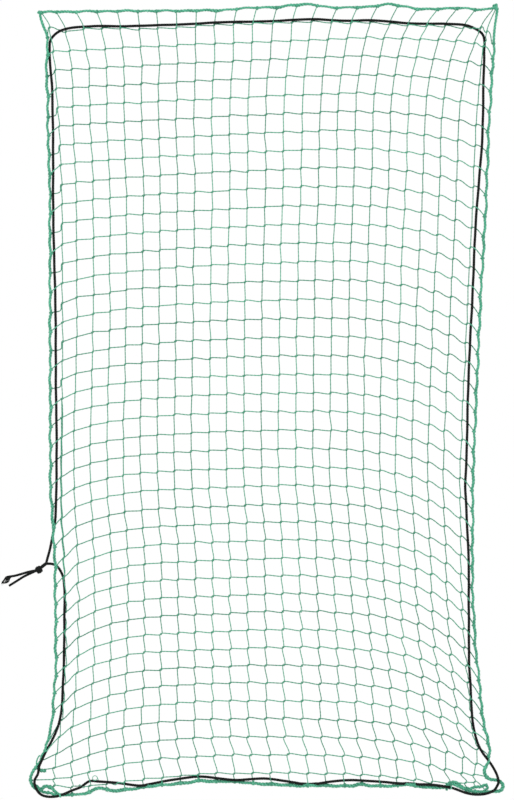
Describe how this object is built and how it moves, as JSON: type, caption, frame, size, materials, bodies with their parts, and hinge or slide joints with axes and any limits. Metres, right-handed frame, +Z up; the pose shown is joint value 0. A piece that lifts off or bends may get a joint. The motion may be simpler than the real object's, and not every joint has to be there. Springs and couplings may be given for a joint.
{
  "type": "golf chipping net",
  "caption": "Hanging panel of knotted square-mesh netting with a thicker border rope and a drawcord threaded round its edge, tied at one side.",
  "frame": {"origin": "flat facet on top of the border rope, midway along the top edge, where the net hangs", "axes": "+Z up, +X to the right seen from the front, the front of the net faces -Y"},
  "size_m": [0.669, 0.0104, 1.0569],
  "materials": {
    "twine": "matt knotted polyethylene twine",
    "border": "matt twisted rope, slightly fuzzy",
    "cord": "braided cord, low sheen"
  },
  "bodies": {
    "top_rope": {"border_rope_top": "border"},
    "panel_1": {"net_panel_1": "twine", "border_rope_left_1": "border", "border_rope_right_1": "border", "drawcord_left_1": "cord", "drawcord_right_1": "cord", "drawcord_top": "cord"},
    "panel_2": {"net_panel_2": "twine", "border_rope_left_2": "border", "border_rope_right_2": "border", "drawcord_left_2": "cord", "drawcord_right_2": "cord"},
    "panel_3": {"net_panel_3": "twine", "border_rope_left_3": "border", "border_rope_right_3": "border", "drawcord_left_3": "cord", "drawcord_right_3": "cord"},
    "panel_4": {"net_panel_4": "twine", "border_rope_left_4": "border", "border_rope_right_4": "border", "drawcord_left_4": "cord", "drawcord_right_4": "cord"},
    "panel_5": {"net_panel_5": "twine", "border_rope_left_5": "border", "border_rope_right_5": "border", "drawcord_left_5_lower": "cord", "drawcord_left_5_upper": "cord", "drawcord_right_5": "cord"},
    "panel_6": {"net_panel_6": "twine", "border_rope_left_6": "border", "border_rope_right_6": "border", "drawcord_left_6": "cord", "drawcord_right_6": "cord"},
    "panel_7": {"net_panel_7": "twine", "border_rope_left_7": "border", "border_rope_right_7": "border", "drawcord_left_7": "cord", "drawcord_right_7": "cord", "border_rope_bottom": "border", "drawcord_bottom": "cord", "border_rope_corner_left": "border", "border_rope_corner_right": "border"},
    "drawcord_legs": {"drawcord_leg_upper": "cord", "drawcord_leg_lower": "cord"},
    "knot": {"drawcord_knot": "cord"},
    "tail_upper": {"drawcord_tail_upper": "cord", "drawcord_tail_end": "cord"},
    "tail_lower": {"drawcord_tail_lower": "cord"}
  },
  "joints": [
    {"name": "net_swing", "type": "hinge", "parent": "top_rope", "child": "panel_1", "pos_m": [0, 0, -0.0032], "axis": [1, 0, 0], "range_deg": [-35, 35]},
    {"name": "fold_1", "type": "hinge", "parent": "panel_1", "child": "panel_2", "pos_m": [0, -0.0054, -0.1786], "axis": [-1, 0, 0], "range_deg": [0, 160]},
    {"name": "fold_2", "type": "hinge", "parent": "panel_2", "child": "panel_3", "pos_m": [0, 0.0054, -0.3269], "axis": [1, 0, 0], "range_deg": [0, 160]},
    {"name": "fold_3", "type": "hinge", "parent": "panel_3", "child": "panel_4", "pos_m": [0, -0.0054, -0.4747], "axis": [-1, 0, 0], "range_deg": [0, 160]},
    {"name": "fold_4", "type": "hinge", "parent": "panel_4", "child": "panel_5", "pos_m": [0, 0.0054, -0.6219], "axis": [1, 0, 0], "range_deg": [0, 160]},
    {"name": "fold_5", "type": "hinge", "parent": "panel_5", "child": "panel_6", "pos_m": [0, -0.0054, -0.7903], "axis": [-1, 0, 0], "range_deg": [0, 160]},
    {"name": "fold_6", "type": "hinge", "parent": "panel_6", "child": "panel_7", "pos_m": [0, 0.0054, -0.9311], "axis": [1, 0, 0], "range_deg": [0, 160]},
    {"name": "drawcord_pull", "type": "slide", "parent": "panel_5", "child": "drawcord_legs", "axis": [-0.92, 0, -0.392], "range_m": [0, 0.06]},
    {"name": "knot_swing", "type": "hinge", "parent": "drawcord_legs", "child": "knot", "pos_m": [-0.296, 0, -0.7415], "axis": [0, -1, 0], "range_deg": [-35, 50], "stiffness_Nm_per_rad": 0.02},
    {"name": "tail_upper_swing", "type": "hinge", "parent": "knot", "child": "tail_upper", "pos_m": [-0.3118, -0.00175, -0.751], "axis": [0, -1, 0], "range_deg": [-20, 20], "stiffness_Nm_per_rad": 0.01},
    {"name": "tail_lower_swing", "type": "hinge", "parent": "knot", "child": "tail_lower", "pos_m": [-0.3118, 0.00175, -0.752], "axis": [0, -1, 0], "range_deg": [-20, 20], "stiffness_Nm_per_rad": 0.01}
  ],
  "couplings": [
    {"joint": "fold_2", "follows": "fold_1", "ratio": 1},
    {"joint": "fold_3", "follows": "fold_1", "ratio": 1},
    {"joint": "fold_4", "follows": "fold_1", "ratio": 1},
    {"joint": "fold_5", "follows": "fold_1", "ratio": 1},
    {"joint": "fold_6", "follows": "fold_1", "ratio": 1}
  ]
}
